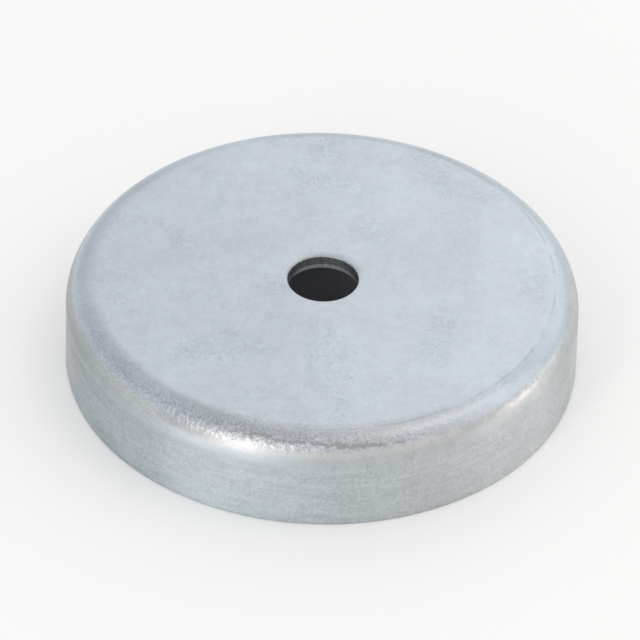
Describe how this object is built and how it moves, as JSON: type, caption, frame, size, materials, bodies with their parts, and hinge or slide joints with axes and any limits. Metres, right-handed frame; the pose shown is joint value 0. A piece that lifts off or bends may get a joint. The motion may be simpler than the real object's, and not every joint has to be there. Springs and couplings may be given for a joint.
{
  "type": "pot magnet",
  "caption": "Shallow round holding magnet: a ferrite ring bonded in a drawn zinc-plated steel pot, with a plain screw hole through its centre.",
  "frame": {"origin": "centre of the holding face, on the axis of the screw hole, in the plane of the pot's rim", "axes": "+Z along the axis from the holding face to the closed back of the pot; X and Y are free, because the part is round"},
  "size_m": [0.04, 0.04, 0.008],
  "materials": {
    "zinc_plated_steel": "blue-passivated zinc plating, matt with a fine mottle",
    "ferrite": "sintered hard ferrite with a ground face",
    "epoxy": "cured two-part epoxy, dark and slightly glossy"
  },
  "bodies": {
    "root": {"steel_pot": "zinc_plated_steel", "ring_magnet": "ferrite", "adhesive_ring": "epoxy"}
  },
  "joints": []
}
